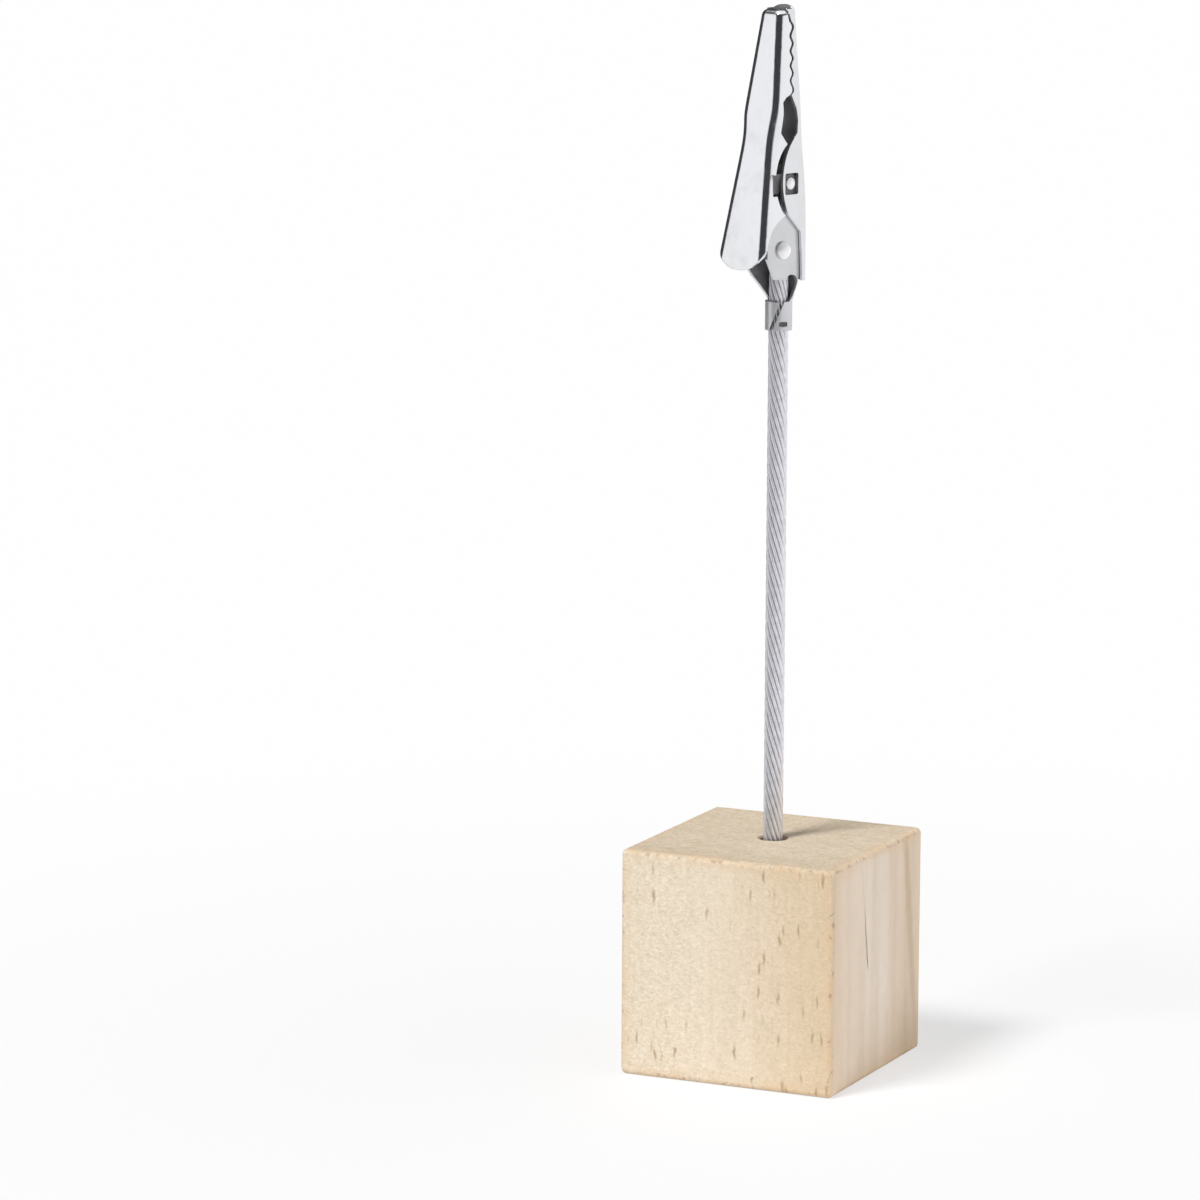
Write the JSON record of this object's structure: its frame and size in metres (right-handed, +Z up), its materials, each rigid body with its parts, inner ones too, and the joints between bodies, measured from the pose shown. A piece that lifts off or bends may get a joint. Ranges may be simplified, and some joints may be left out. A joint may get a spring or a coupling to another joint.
{
  "type": "wooden photo block holder",
  "caption": "Desk photo holder: a plain wooden cube with a straight wire rope stem that carries a sprung alligator clip for a photo or card.",
  "frame": {"origin": "middle of the wooden block's underside", "axes": "+Z up along the stem; the block's plain front face looks towards -Y; +X to the right seen from the front"},
  "size_m": [0.035, 0.035, 0.162],
  "materials": {
    "wood": "sanded pale hardwood, unvarnished",
    "rope_steel": "zinc-coated steel wire rope",
    "glue": "cured clear glue",
    "nickel_plate": "bright nickel plate on stamped steel",
    "spring_steel": "plated spring wire"
  },
  "bodies": {
    "stand": {"wood_block": "wood", "wire_rope": "rope_steel", "glue_sleeve": "glue", "lower_jaw": "nickel_plate", "tail_bracket": "nickel_plate", "tail_rivet": "nickel_plate", "pivot_pin": "nickel_plate", "torsion_spring": "spring_steel"},
    "lever_jaw": {"upper_jaw": "nickel_plate"}
  },
  "joints": [
    {"name": "jaw_hinge", "type": "hinge", "parent": "stand", "child": "lever_jaw", "pos_m": [-0.00027, -0.00075, 0.1355], "axis": [0.9397, -0.342, 0], "range_deg": [0, 12], "stiffness_Nm_per_rad": 0.1, "springref_deg": -0.23, "deforming": ["torsion_spring"]}
  ]
}
